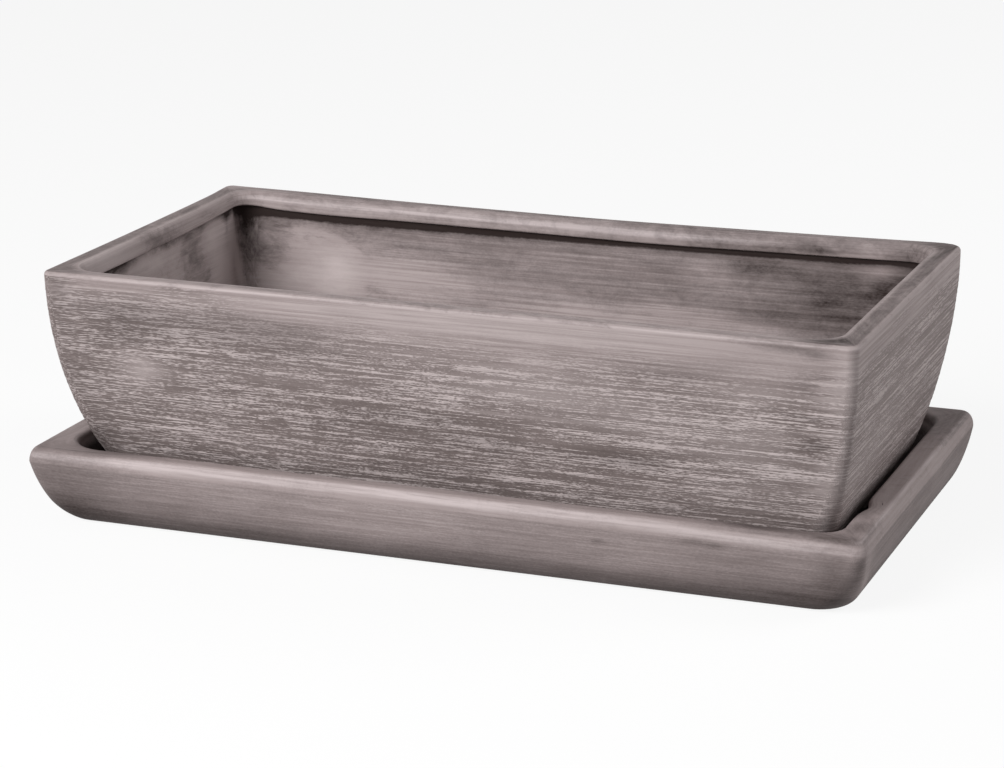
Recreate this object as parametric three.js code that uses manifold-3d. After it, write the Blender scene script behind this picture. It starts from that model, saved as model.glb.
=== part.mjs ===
// A ceramic window box standing loose in its own saucer, on four rubber feet.
// Millimetres, +Z up, +X along the length, the front faces -Y.
// The origin is on the ground, below the middle of the saucer.
import * as THREE from "three";
import { mergeVertices } from "three/addons/utils/BufferGeometryUtils.js";
import Module from "manifold-3d";

// Window box
const boxLength = 400; // over the rim
const boxWidth = 212.3; // over the rim
const boxHeight = 115; // foot to rim
const boxCornerRadius = 5.5; // upright outer edges, below the rim
const boxFootCornerRadius = 36; // the same edges at the foot, where they are rounder
const wallTaper = 24; // how far further in each long wall stands at the foot than at the rim
const endTaper = 19; // the same for the end walls
const evenLean = 0.4; // share of the long walls' taper that is an even lean, while the rest is curved
const wallThickness = 8;
const boxEndExtra = 2.5; // the end walls and end rims are this much thicker
const rimEdgeRadius = 2.4; // outer top edge of the rim
const rimFlat = 4.9; // level top of the rim on the long sides, between its rounded edges
const lipHeight = 8.8; // the rim stands in over the cavity by a lip this tall
const lipEdgeRadius = 3.5; // inner top edge of the lip
const lipCornerRadius = 13; // corners of the mouth, in plan
const cavityCornerRadius = 11; // upright inner corners
const cavityFillet = 10; // where the inner walls meet the floor
const boxFloorThickness = 9;
const footRingHeight = 5.5; // the foot ring lifts the floor off the saucer
const footRingWidth = 14; // flat part that stands on the saucer
const footEdgeRadius = 3; // outer lower edge of the foot ring
const drainRadius = 10;
const drainCount = 3;
const notchWidth = 26; // gaps in the foot ring that let the water out
const notchRoof = 0.5; // they stop this far below the floor's underside

// Saucer
const saucerHeight = 37.4; // underside to rim
const saucerEndGap = 3.3; // between the box's end walls and the saucer's inner rim edge
const saucerEndExtra = 3.5; // the end rims are this much thicker
const saucerRimEdgeWidth = 4.8; // the outer top edge is rounded over this width
const saucerRimEdgeHeight = 7.5; // and over this height
const saucerRimFlat = 4; // level top of the rim on the long sides, between its rounded edges
const saucerInnerEdgeRadius = 3.5; // inner top edge
const saucerFootInset = 12.5; // how far further in the wall stands at the underside than at the rim
const saucerBelly = 0.23; // share of the inset and height left at the knee of the wall's curve
const saucerCornerRadius = 6; // upright outer corners, at the rim
const saucerFootCornerRadius = 15; // the same corners at the underside
const saucerInnerCornerRadius = 22;
const saucerFloorThickness = 9;
const moatWidth = 4.5; // flat floor left free round the box's foot
const moatFillet = 5;
const saucerRecess = 2.4; // hollow of the underside
const saucerRingWidth = 16; // flat ring round that hollow

// Rubber feet
const rubberFootRadius = 8;
const rubberFootProud = 1.2; // how far a foot stands out below the saucer
const rubberFootEdge = 0.6; // rounding of the lower edge
const rubberFootMargin = 7; // from a foot to the sides of the hollow

// How finely curves are divided
const cornerSegments = 3; // arcs are divided into twice this
const wallSegments = 10;
const filletSegments = 3;
const roundSegments = 24;

// Levels
const saucerBottom = rubberFootProud;
const saucerTop = saucerBottom + saucerHeight;
const seatZ = saucerBottom + saucerFloorThickness; // the box stands here
const boxTop = seatZ + boxHeight;
const wallTop = boxTop - rimEdgeRadius;
const wallFoot = seatZ + footEdgeRadius;
const boxUnderside = seatZ + footRingHeight;
const boxFloor = boxUnderside + boxFloorThickness;

// Rims, outer edge to inner edge
const rimThickness = rimEdgeRadius + rimFlat + lipEdgeRadius;
const saucerRimThickness = saucerRimEdgeWidth + saucerRimFlat + saucerInnerEdgeRadius;

// The walls lean in more and more down to the foot: the end walls as a parabola that is upright at
// the rim, the long walls with an even lean as well.
const wallDrop = wallTop - wallFoot;

// Share of the way from the rim down to the foot.
function shareDown(z) {
  return Math.min((wallTop - z) / wallDrop, 1);
}

function wallInset(z) {
  const share = shareDown(z);
  return wallTaper * (evenLean * share + (1 - evenLean) * share ** 2);
}

function endInset(z) {
  return endTaper * shareDown(z) ** 2;
}

// How far a long wall leans in at a level, in mm per mm of drop.
function wallLean(z) {
  return (wallTaper / wallDrop) * (evenLean + 2 * (1 - evenLean) * shareDown(z));
}

// Where the flat of the foot ring begins
const footFlat = wallTaper + wallLean(wallFoot) * footEdgeRadius + footEdgeRadius;

const wasm = await Module();
wasm.setup();

function toManifold(geometry) {
  const bare = geometry.clone();
  bare.deleteAttribute("normal");
  bare.deleteAttribute("uv");
  const merged = mergeVertices(bare, 1e-4);
  return new wasm.Manifold(
    new wasm.Mesh({
      numProp: 3,
      vertProperties: new Float32Array(merged.attributes.position.array),
      triVerts: new Uint32Array(merged.index.array),
    }),
  );
}

function toGeometry(solid) {
  const mesh = solid.getMesh();
  const geometry = new THREE.BufferGeometry();
  geometry.setAttribute("position", new THREE.BufferAttribute(mesh.vertProperties, 3));
  geometry.setIndex(new THREE.BufferAttribute(mesh.triVerts, 1));
  const flat = geometry.toNonIndexed();
  flat.computeVertexNormals();
  return flat;
}

// One level outline of a piece: a rectangle with rounded corners.
function rectangleRing(length, width, radius, z) {
  const x = length / 2 - radius;
  const y = width / 2 - radius;
  const path = new THREE.Path();
  path.absarc(x, y, radius, 0, Math.PI / 2);
  path.absarc(-x, y, radius, Math.PI / 2, Math.PI);
  path.absarc(-x, -y, radius, Math.PI, 1.5 * Math.PI);
  path.absarc(x, -y, radius, 1.5 * Math.PI, 2 * Math.PI);
  return path.getPoints(cornerSegments).map((p) => new THREE.Vector3(p.x, p.y, z));
}

// Over a rounded edge, the corners in plan tighten to half their radius.
function tightened(radius, inset, edgeWidth) {
  return radius * (1 - inset / edgeWidth / 2);
}

// The outlines along a section, whose points are (inset from the length and width, height).
function ringsAlong(section, length, width, radiusAt, endExtraAt = () => 0) {
  return section.getPoints(filletSegments).map((p) => {
    const ringLength = length - 2 * p.x - 2 * endExtraAt(p.y);
    return rectangleRing(ringLength, width - 2 * p.x, radiusAt(p.x, p.y), p.y);
  });
}

// A closed skin over rings that run from the middle of the underside, round the outside, to the
// middle of the upper side.
function loft(rings) {
  const count = rings[0].length;
  const positions = [];
  const indices = [];
  for (const ring of rings) {
    for (const p of ring) {
      positions.push(p.x, p.y, p.z);
    }
  }
  const first = positions.length / 3;
  const last = first + 1;
  for (const ring of [rings[0], rings[rings.length - 1]]) {
    const middle = new THREE.Vector3();
    ring.forEach((p) => middle.add(p));
    middle.divideScalar(count);
    positions.push(middle.x, middle.y, middle.z);
  }
  for (let j = 0; j < count; j++) {
    const k = (j + 1) % count;
    indices.push(first, k, j);
    for (let i = 0; i < rings.length - 1; i++) {
      const low = i * count;
      const high = low + count;
      indices.push(low + j, low + k, high + k);
      indices.push(low + j, high + k, high + j);
    }
    const end = (rings.length - 1) * count;
    indices.push(end + j, end + k, last);
  }
  const geometry = new THREE.BufferGeometry();
  geometry.setAttribute("position", new THREE.Float32BufferAttribute(positions, 3));
  geometry.setIndex(indices);
  return geometry;
}

function boxAt(sizeX, sizeY, sizeZ, x, y, z) {
  return toManifold(new THREE.BoxGeometry(sizeX, sizeY, sizeZ).translate(x, y, z));
}

// The window box in one piece: foot ring, flared walls, rim with its inner lip, cavity and floor.
function windowBoxGeometry() {
  const hollowInset = footFlat + footRingWidth;
  const under = new THREE.Path();
  under.moveTo(hollowInset, boxUnderside);
  under.lineTo(hollowInset, seatZ);
  under.lineTo(footFlat, seatZ);
  under.quadraticCurveTo(footFlat - footEdgeRadius, seatZ, wallTaper, wallFoot);
  for (let i = 1; i <= wallSegments; i++) {
    const z = wallFoot + (wallDrop * i) / wallSegments;
    under.lineTo(wallInset(z), z);
  }

  const rim = new THREE.Path();
  rim.absarc(rimEdgeRadius, wallTop, rimEdgeRadius, Math.PI, Math.PI / 2, true);

  const lipBottom = boxTop - lipHeight;
  const lip = new THREE.Path();
  const lipCentre = rimThickness - lipEdgeRadius;
  lip.absarc(lipCentre, boxTop - lipEdgeRadius, lipEdgeRadius, Math.PI / 2, 0, true);
  lip.lineTo(rimThickness, lipBottom);

  const filletTop = boxFloor + cavityFillet;
  const filletInset = wallInset(filletTop) + wallThickness;
  const filletKnee = filletInset + wallLean(filletTop) * cavityFillet;
  const cavity = new THREE.Path();
  cavity.moveTo(wallInset(lipBottom) + wallThickness, lipBottom);
  for (let i = 1; i <= wallSegments; i++) {
    const z = lipBottom + ((filletTop - lipBottom) * i) / wallSegments;
    cavity.lineTo(wallInset(z) + wallThickness, z);
  }
  const floorInset = filletKnee + cavityFillet;
  cavity.quadraticCurveTo(filletKnee, boxFloor, floorInset, boxFloor);

  const cornerGrowth = boxFootCornerRadius - boxCornerRadius;
  const wallRadius = (inset, z) => boxCornerRadius + cornerGrowth * shareDown(z) ** 4;
  const rimRadius = (inset) => tightened(boxCornerRadius, inset, rimEdgeRadius);
  const endExtraAt = (z) => endInset(z) - wallInset(z);
  const cavityEndExtraAt = (z) => endExtraAt(z) + boxEndExtra;
  const lipRadius = (inset) => lipCornerRadius + rimThickness - inset;
  const rings = [
    ...ringsAlong(under, boxLength, boxWidth, wallRadius, endExtraAt),
    ...ringsAlong(rim, boxLength, boxWidth, rimRadius).slice(1),
    ...ringsAlong(lip, boxLength, boxWidth, lipRadius, () => boxEndExtra),
    ...ringsAlong(cavity, boxLength, boxWidth, () => cavityCornerRadius, cavityEndExtraAt),
  ];
  let solid = toManifold(loft(rings));

  const drainDepth = boxFloorThickness * 2;
  const drainMiddle = boxUnderside + boxFloorThickness / 2;
  const drainSpacing = (boxLength - 2 * floorInset - 2 * cavityEndExtraAt(boxFloor)) / drainCount;
  for (let i = 0; i < drainCount; i++) {
    const drain = new THREE.CylinderGeometry(drainRadius, drainRadius, drainDepth, roundSegments);
    drain.rotateX(Math.PI / 2);
    drain.translate((i - (drainCount - 1) / 2) * drainSpacing, 0, drainMiddle);
    solid = solid.subtract(toManifold(drain));
  }

  const notchDepth = (footRingHeight - notchRoof) * 2;
  solid = solid.subtract(boxAt(notchWidth, boxWidth, notchDepth, 0, 0, seatZ));
  solid = solid.subtract(boxAt(boxLength, notchWidth, notchDepth, 0, 0, seatZ));
  return toGeometry(solid);
}

// How far the saucer stands out beyond the box's rim, all round. It follows from the gap at the ends,
// where the two are closest, at the height of the saucer's top.
const saucerSpread = saucerEndGap + saucerRimThickness + saucerEndExtra - endInset(saucerTop);
const saucerLength = boxLength + 2 * saucerSpread;
const saucerWidth = boxWidth + 2 * saucerSpread;
const saucerHollowInset = saucerFootInset + saucerRingWidth;

// The saucer in one piece: underside ring, bellied wall, thick rim and a flat floor.
function saucerGeometry() {
  const wallHeight = saucerHeight - saucerRimEdgeHeight;
  const outside = new THREE.Path();
  outside.moveTo(saucerHollowInset, saucerBottom + saucerRecess);
  outside.lineTo(saucerHollowInset, saucerBottom);
  outside.lineTo(saucerFootInset, saucerBottom);
  const knee = new THREE.Vector2(
    saucerFootInset * saucerBelly,
    saucerBottom + wallHeight * saucerBelly,
  );
  const wall = new THREE.QuadraticBezierCurve(
    new THREE.Vector2(saucerFootInset, saucerBottom),
    knee,
    new THREE.Vector2(0, saucerBottom + wallHeight),
  );
  wall.getPoints(wallSegments).slice(1).forEach((p) => outside.lineTo(p.x, p.y));

  const rim = new THREE.Path();
  rim.absellipse(
    saucerRimEdgeWidth,
    saucerTop - saucerRimEdgeHeight,
    saucerRimEdgeWidth,
    saucerRimEdgeHeight,
    Math.PI,
    Math.PI / 2,
    true,
  );

  const innerEdge = saucerRimThickness - saucerInnerEdgeRadius;
  const innerTop = saucerTop - saucerInnerEdgeRadius;
  const floorInset = saucerSpread + footFlat - moatWidth - moatFillet;
  const inside = new THREE.Path();
  inside.absarc(innerEdge, innerTop, saucerInnerEdgeRadius, Math.PI / 2, 0, true);
  inside.lineTo(floorInset - moatFillet / 2, seatZ + moatFillet);
  inside.quadraticCurveTo(floorInset, seatZ, floorInset + moatFillet, seatZ);

  const cornerGrowth = (saucerFootCornerRadius - saucerCornerRadius) / wallHeight;
  const wallRadius = (inset, z) => saucerFootCornerRadius - cornerGrowth * (z - saucerBottom);
  const rimRadius = (inset) => tightened(saucerCornerRadius, inset, saucerRimEdgeWidth);
  const innerRadius = () => saucerInnerCornerRadius;
  const floorEndExtra = endTaper - wallTaper;
  const endExtraAt = (z) =>
    THREE.MathUtils.mapLinear(z, seatZ, saucerTop, floorEndExtra, saucerEndExtra);
  const rings = [
    ...ringsAlong(outside, saucerLength, saucerWidth, wallRadius),
    ...ringsAlong(rim, saucerLength, saucerWidth, rimRadius).slice(1),
    ...ringsAlong(inside, saucerLength, saucerWidth, innerRadius, endExtraAt),
  ];
  return toGeometry(toManifold(loft(rings)));
}

function circleRing(radius, z) {
  const ring = [];
  for (let i = 0; i < roundSegments; i++) {
    const angle = (i / roundSegments) * 2 * Math.PI;
    ring.push(new THREE.Vector3(radius * Math.cos(angle), radius * Math.sin(angle), z));
  }
  return ring;
}

// A round rubber foot, stuck to the roof of the saucer's hollow.
function rubberFootGeometry(x, y) {
  const rings = [
    circleRing(rubberFootRadius - rubberFootEdge, 0),
    circleRing(rubberFootRadius, rubberFootEdge),
    circleRing(rubberFootRadius, saucerBottom + saucerRecess),
  ];
  const geometry = loft(rings).translate(x, y, 0).toNonIndexed();
  geometry.computeVertexNormals();
  return geometry;
}

const part = new THREE.Group();
part.name = "ceramic_window_box";

function addPiece(name, geometry, colour, roughness) {
  const material = new THREE.MeshStandardMaterial({ color: colour, roughness, metalness: 0 });
  const mesh = new THREE.Mesh(geometry, material);
  mesh.name = name;
  part.add(mesh);
}

addPiece("window_box", windowBoxGeometry(), "#958a88", 0.8);
addPiece("saucer", saucerGeometry(), "#8d8280", 0.75);

const footInset = saucerHollowInset + rubberFootMargin + rubberFootRadius;
const footX = saucerLength / 2 - footInset;
const footY = saucerWidth / 2 - footInset;
for (const [side, x] of [["left", -footX], ["right", footX]]) {
  for (const [end, y] of [["front", -footY], ["back", footY]]) {
    addPiece(`rubber_foot_${end}_${side}`, rubberFootGeometry(x, y), "#2b2b2c", 0.9);
  }
}

export default part;
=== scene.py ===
"""Looks of the ceramic window box: the box, its saucer and four rubber feet, in the CAD frame."""

import math

import bmesh
import bpy
import numpy as np
from mathutils import Matrix, Vector, noise
from mathutils.geometry import delaunay_2d_cdt


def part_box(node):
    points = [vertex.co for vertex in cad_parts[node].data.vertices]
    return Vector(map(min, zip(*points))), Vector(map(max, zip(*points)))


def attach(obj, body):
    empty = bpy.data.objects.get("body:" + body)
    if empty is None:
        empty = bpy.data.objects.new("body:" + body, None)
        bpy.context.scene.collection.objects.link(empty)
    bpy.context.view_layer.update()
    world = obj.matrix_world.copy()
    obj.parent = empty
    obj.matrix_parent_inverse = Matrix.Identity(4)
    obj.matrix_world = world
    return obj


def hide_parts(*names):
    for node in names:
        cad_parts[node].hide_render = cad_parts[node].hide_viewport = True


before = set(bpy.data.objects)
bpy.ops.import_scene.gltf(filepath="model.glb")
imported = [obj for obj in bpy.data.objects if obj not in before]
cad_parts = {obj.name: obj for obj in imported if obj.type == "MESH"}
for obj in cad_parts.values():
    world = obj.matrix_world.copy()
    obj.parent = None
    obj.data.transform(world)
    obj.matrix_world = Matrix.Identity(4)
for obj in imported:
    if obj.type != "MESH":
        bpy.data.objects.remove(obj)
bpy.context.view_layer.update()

MM = 0.001  # the sizes below are in millimetres, and Blender's are in metres


def node_box(name):
    """Lowest and highest corner of a CAD node, in millimetres."""
    low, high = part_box(name)
    return np.array(low) / MM, np.array(high) / MM


box_low, box_high = node_box("window_box")
saucer_low, saucer_high = node_box("saucer")
FOOT_NODES = sorted(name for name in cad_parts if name.startswith("rubber_foot"))

# Window box, as in the CAD model
BOX_LENGTH, BOX_WIDTH, _ = box_high - box_low
SEAT_Z = box_low[2]  # the box stands on the saucer here
BOX_TOP = box_high[2]
BOX_HEIGHT = BOX_TOP - SEAT_Z
BOX_CORNER_RADIUS = 5.5
BOX_FOOT_CORNER_RADIUS = 36
WALL_TAPER = 24
END_TAPER = 19
EVEN_LEAN = 0.4
WALL_THICKNESS = 8
BOX_END_EXTRA = 2.5
RIM_EDGE_RADIUS = 2.4
RIM_FLAT = 4.9
LIP_HEIGHT = 8.8
LIP_EDGE_RADIUS = 3.5
LIP_CORNER_RADIUS = 13
CAVITY_CORNER_RADIUS = 11
CAVITY_FILLET = 10
BOX_FLOOR_THICKNESS = 9
FOOT_RING_HEIGHT = 5.5
FOOT_RING_WIDTH = 14
FOOT_EDGE_RADIUS = 3
DRAIN_RADIUS = 10
DRAIN_COUNT = 3
NOTCH_WIDTH = 26
NOTCH_ROOF = 0.5

WALL_TOP = BOX_TOP - RIM_EDGE_RADIUS
WALL_FOOT = SEAT_Z + FOOT_EDGE_RADIUS
WALL_DROP = WALL_TOP - WALL_FOOT
BOX_UNDERSIDE = SEAT_Z + FOOT_RING_HEIGHT
BOX_FLOOR = BOX_UNDERSIDE + BOX_FLOOR_THICKNESS
RIM_THICKNESS = RIM_EDGE_RADIUS + RIM_FLAT + LIP_EDGE_RADIUS
LIP_BOTTOM = BOX_TOP - LIP_HEIGHT

# Saucer, as in the CAD model
SAUCER_LENGTH, SAUCER_WIDTH, SAUCER_HEIGHT = saucer_high - saucer_low
SAUCER_BOTTOM = saucer_low[2]
SAUCER_TOP = saucer_high[2]
SAUCER_RIM_EDGE_WIDTH = 4.8
SAUCER_RIM_EDGE_HEIGHT = 7.5
SAUCER_RIM_FLAT = 4
SAUCER_INNER_EDGE_RADIUS = 3.5
SAUCER_FOOT_INSET = 12.5
SAUCER_BELLY = 0.23
SAUCER_CORNER_RADIUS = 6
SAUCER_FOOT_CORNER_RADIUS = 15
SAUCER_INNER_CORNER_RADIUS = 22
SAUCER_END_EXTRA = 3.5
MOAT_WIDTH = 4.5
MOAT_FILLET = 5
SAUCER_RECESS = 2.4
SAUCER_RING_WIDTH = 16

# The photograph's camera
CAMERA_AZIMUTH = 20.562
CAMERA_ELEVATION = 15.751
CAMERA_DISTANCE = 1535.96
CAMERA_TARGET = (-4.349, 0, 60.529)
CAMERA_LENS = 112.09
SENSOR_WIDTH = 36

# Light, in metres and watts
LAMP_TARGET = (0, 0, 0.06)
LAMP_SIZE = 1.1
KEY_PLACE, KEY_POWER = (-0.67, -1.7, 1.1), 50.8
SIDE_PLACE, SIDE_POWER = (1.75, 0.9, 0.9), 21.5
DIM_WORLD = 0.14  # the world's strength where it isn't seen directly
FLOOR_REACH = 6
FLOOR_GLOW = 0.88
FLOOR_LIT, FLOOR_SEEN = (0.35, 0.35, 0.35, 1), (0.95, 0.95, 0.95, 1)  # as it reflects, and as it shows

# How finely the skins are divided
SIDE_STEP = 3.2
CORNER_STEPS = 10
WALL_STEP = 0.62
CAVITY_ROWS = 37
CAP_STEP = 7
ROUND_STEPS = 48
NOTCH_EDGE = 0.9  # how wide the slope at a notch's edge is
SHARP_ANGLE = 50
JOIN_DISTANCE = 0.001

# How far the fired clay departs from the CAD model
NEAR_CORNER_SHARE = 0.4  # how much of the others' rounding the front right corner has
LIP_EDGE_DROP = 4.8  # how tall the rounding of the lip's upper edge is
BACK_DRAWN_IN = 3.7
BACK_SAG = 1.2
LEFT_DRAWN_IN = 0.9
BACK_LEFT_PULL = (1.2, 1.6)  # along X and Y
BACK_RIGHT_WEAR = 0.9
SETTLING = 0.3
SETTLE_RISE = 8  # the saucer settles fully from so far above its floor
STROKE_RELIEF = 0.16
RIDGE_HEIGHT = 0.7
DRAIN_EDGE_RADIUS = 2
DENT_DEPTH = 2.6
DENT_Y = -60
DENT_REACH = 8


def ramp(low, high, value):
    """0 below low, 1 above high, and a smooth climb between them; low may be the greater."""
    t = np.clip((value - low) / (high - low), 0, 1)
    return t * t * (3 - 2 * t)


def bell(value, middle, reach):
    """1 at the middle, and a smooth fall to 0 on both sides."""
    return np.exp(-(((value - middle) / reach) ** 2))


def noise_at(grain, along, across, seed):
    """Smooth noise of about -0.7 to 0.7, whose grain is in millimetres along and across the strokes."""
    places = grain.reshape(-1, 3) / (along, along, across) + seed
    values = [noise.noise(Vector(place)) for place in places]
    return np.array(values).reshape(grain.shape[:-1])


def share_down(z):
    """Share of the way from the box's rim down to its foot."""
    return np.minimum((WALL_TOP - z) / WALL_DROP, 1)


def wall_inset(z):
    share = share_down(z)
    return WALL_TAPER * (EVEN_LEAN * share + (1 - EVEN_LEAN) * share**2)


def wall_lean(z):
    return WALL_TAPER / WALL_DROP * (EVEN_LEAN + 2 * (1 - EVEN_LEAN) * share_down(z))


def end_extra(inset, z):
    """How much further in than the long walls the end walls are."""
    return END_TAPER * share_down(z) ** 2 - wall_inset(z)


def cavity_end_extra(inset, z):
    return end_extra(inset, z) + BOX_END_EXTRA


FOOT_FLAT = WALL_TAPER + wall_lean(WALL_FOOT) * FOOT_EDGE_RADIUS + FOOT_EDGE_RADIUS


def bend(start, knee, end, steps):
    """Points of a quadratic curve, without its start."""
    t = np.linspace(0, 1, steps + 1)[1:, None]
    return (1 - t) ** 2 * np.array(start) + 2 * t * (1 - t) * np.array(knee) + t**2 * np.array(end)


def ellipse(centre, radii, first, last, steps):
    """Points of an elliptical arc between two angles in degrees, ends included."""
    angle = np.radians(np.linspace(first, last, steps + 1))
    turn = np.stack([np.cos(angle), np.sin(angle)], axis=1)
    return np.array(centre) + np.array(radii) * turn


def circle(centre, radius):
    """Points round a circle, the first one at the right."""
    return ellipse(centre, (radius, radius), 0, 360, ROUND_STEPS)[:-1]


def line(start, end, steps):
    """Points of a straight line, without its start."""
    t = np.linspace(0, 1, steps + 1)[1:, None]
    return (1 - t) * np.array(start) + t * np.array(end)


def always(value):
    """A rule for the rows of a skin that gives the same value for all of them."""
    return lambda inset, z: value


class Section:
    """The rows of a skin: inset from the outline, height, corner radius and extra inset at the ends."""

    def __init__(self):
        self.rows = []
        self.zones = []

    def add(self, zone, points, radius_at, extra_at=always(0)):
        """Rows at points, each given as its inset and height."""
        for inset, z in np.atleast_2d(points):
            self.rows.append((inset, z, radius_at(inset, z), extra_at(inset, z)))
            self.zones.append(zone)

    def flat(self, zone, end, radius, extra, steps):
        """Rows from the last one to another, evenly changed."""
        start = np.array(self.rows[-1])
        for t in np.linspace(0, 1, steps + 1)[1:-1]:
            self.rows.append(tuple((1 - t) * start + t * np.array((*end, radius, extra))))
            self.zones.append(zone)

    def table(self):
        return np.array(self.rows), np.array(self.zones)


def box_section():
    """The box's rows: from under it up the wall, over the rim and down the inside."""
    hollow = FOOT_FLAT + FOOT_RING_WIDTH

    def wall_radius(inset, z):
        return BOX_CORNER_RADIUS + (BOX_FOOT_CORNER_RADIUS - BOX_CORNER_RADIUS) * share_down(z) ** 4

    def rim_radius(inset, z):
        return BOX_CORNER_RADIUS * (1 - inset / RIM_EDGE_RADIUS / 2)

    def lip_radius(inset, z):
        return LIP_CORNER_RADIUS + RIM_THICKNESS - inset

    def outer(zone, points):
        section.add(zone, points, wall_radius, end_extra)

    def lip(points):
        section.add("lip", points, lip_radius, always(BOX_END_EXTRA))

    def inside(points):
        section.add("inside", points, always(CAVITY_CORNER_RADIUS), cavity_end_extra)

    section = Section()
    edge = 0.8  # rounding of the foot ring's inner edge
    outer("under", (hollow, BOX_UNDERSIDE))
    outer("under", line((hollow, BOX_UNDERSIDE), (hollow, SEAT_Z + edge), 2))
    outer("foot", line((hollow, SEAT_Z + edge), (hollow - edge, SEAT_Z), 2))
    outer("foot", line((hollow - edge, SEAT_Z), (FOOT_FLAT, SEAT_Z), 4))
    knee = (FOOT_FLAT - FOOT_EDGE_RADIUS, SEAT_Z)
    outer("foot", bend((FOOT_FLAT, SEAT_Z), knee, (WALL_TAPER, WALL_FOOT), 5))
    levels = np.linspace(WALL_FOOT, WALL_TOP, round(WALL_DROP / WALL_STEP) + 1)[1:]
    outer("wall", np.stack([wall_inset(levels), levels], axis=1))
    turn = ellipse((RIM_EDGE_RADIUS, WALL_TOP), (RIM_EDGE_RADIUS,) * 2, 180, 90, 7)
    section.add("rim", turn[1:], rim_radius)

    lip_start = (RIM_EDGE_RADIUS + RIM_FLAT, BOX_TOP)
    section.flat("rim", lip_start, lip_radius(*lip_start), BOX_END_EXTRA, 4)
    middle = (lip_start[0], BOX_TOP - LIP_EDGE_DROP)
    lip(ellipse(middle, (LIP_EDGE_RADIUS, LIP_EDGE_DROP), 90, 0, 8))
    soft = 1.0  # rounding of the lip's lower edge
    lip(line((RIM_THICKNESS, middle[1]), (RIM_THICKNESS, LIP_BOTTOM + soft), 4))
    lip((RIM_THICKNESS - 0.3 * soft, LIP_BOTTOM + 0.3 * soft))
    lip((RIM_THICKNESS - soft, LIP_BOTTOM))
    inside((wall_inset(LIP_BOTTOM) + WALL_THICKNESS, LIP_BOTTOM))

    fillet_top = BOX_FLOOR + CAVITY_FILLET
    shares = np.linspace(0, 1, CAVITY_ROWS + 1)[1:] ** 1.35  # closer together under the lip
    levels = LIP_BOTTOM + (fillet_top - LIP_BOTTOM) * shares
    cavity = np.stack([wall_inset(levels) + WALL_THICKNESS, levels], axis=1)
    inside(cavity)
    knee = (cavity[-1, 0] + wall_lean(fillet_top) * CAVITY_FILLET, BOX_FLOOR)
    inside(bend(cavity[-1], knee, (knee[0] + CAVITY_FILLET, BOX_FLOOR), 6))
    return section.table()


def saucer_section():
    """The saucer's rows, in the same order."""
    hollow = SAUCER_FOOT_INSET + SAUCER_RING_WIDTH
    wall_height = SAUCER_HEIGHT - SAUCER_RIM_EDGE_HEIGHT
    growth = (SAUCER_FOOT_CORNER_RADIUS - SAUCER_CORNER_RADIUS) / wall_height

    def wall_radius(inset, z):
        return SAUCER_FOOT_CORNER_RADIUS - growth * (z - SAUCER_BOTTOM)

    def under(points):
        section.add("under", points, wall_radius)

    def rim_radius(inset, z):
        return SAUCER_CORNER_RADIUS * (1 - inset / SAUCER_RIM_EDGE_WIDTH / 2)

    def thicker(inset, z):
        at_floor = END_TAPER - WALL_TAPER
        return at_floor + (SAUCER_END_EXTRA - at_floor) * (z - SEAT_Z) / (SAUCER_TOP - SEAT_Z)

    section = Section()
    inner_radius = always(SAUCER_INNER_CORNER_RADIUS)
    edge = 0.8  # rounding of the hollow's edge
    ring, foot = (hollow - edge, SAUCER_BOTTOM), (SAUCER_FOOT_INSET, SAUCER_BOTTOM)
    under((hollow, SAUCER_BOTTOM + SAUCER_RECESS))
    under((hollow, SAUCER_BOTTOM + edge))
    under(line((hollow, SAUCER_BOTTOM + edge), ring, 2))
    under(line(ring, foot, 4))
    knee = (SAUCER_FOOT_INSET * SAUCER_BELLY, SAUCER_BOTTOM + wall_height * SAUCER_BELLY)
    section.add("wall", bend(foot, knee, (0, SAUCER_BOTTOM + wall_height), 34), wall_radius)
    centre = (SAUCER_RIM_EDGE_WIDTH, SAUCER_TOP - SAUCER_RIM_EDGE_HEIGHT)
    radii = (SAUCER_RIM_EDGE_WIDTH, SAUCER_RIM_EDGE_HEIGHT)
    section.add("rim", ellipse(centre, radii, 180, 90, 14)[1:], rim_radius)

    inner = (SAUCER_RIM_EDGE_WIDTH + SAUCER_RIM_FLAT, SAUCER_TOP)
    section.flat("rim", inner, SAUCER_INNER_CORNER_RADIUS, SAUCER_END_EXTRA, 4)
    middle = (inner[0], SAUCER_TOP - SAUCER_INNER_EDGE_RADIUS)
    turn = ellipse(middle, (SAUCER_INNER_EDGE_RADIUS,) * 2, 90, 0, 8)
    section.add("rim", turn, inner_radius, thicker)
    spread = (SAUCER_LENGTH - BOX_LENGTH) / 2
    floor_inset = spread + FOOT_FLAT - MOAT_WIDTH - MOAT_FILLET
    foot = (floor_inset - MOAT_FILLET / 2, SEAT_Z + MOAT_FILLET)
    section.add("inside", line(turn[-1], foot, 12), inner_radius, thicker)
    fillet = bend(foot, (floor_inset, SEAT_Z), (floor_inset + MOAT_FILLET, SEAT_Z), 5)
    section.add("inside", fillet, inner_radius, thicker)
    return section.table()


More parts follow.
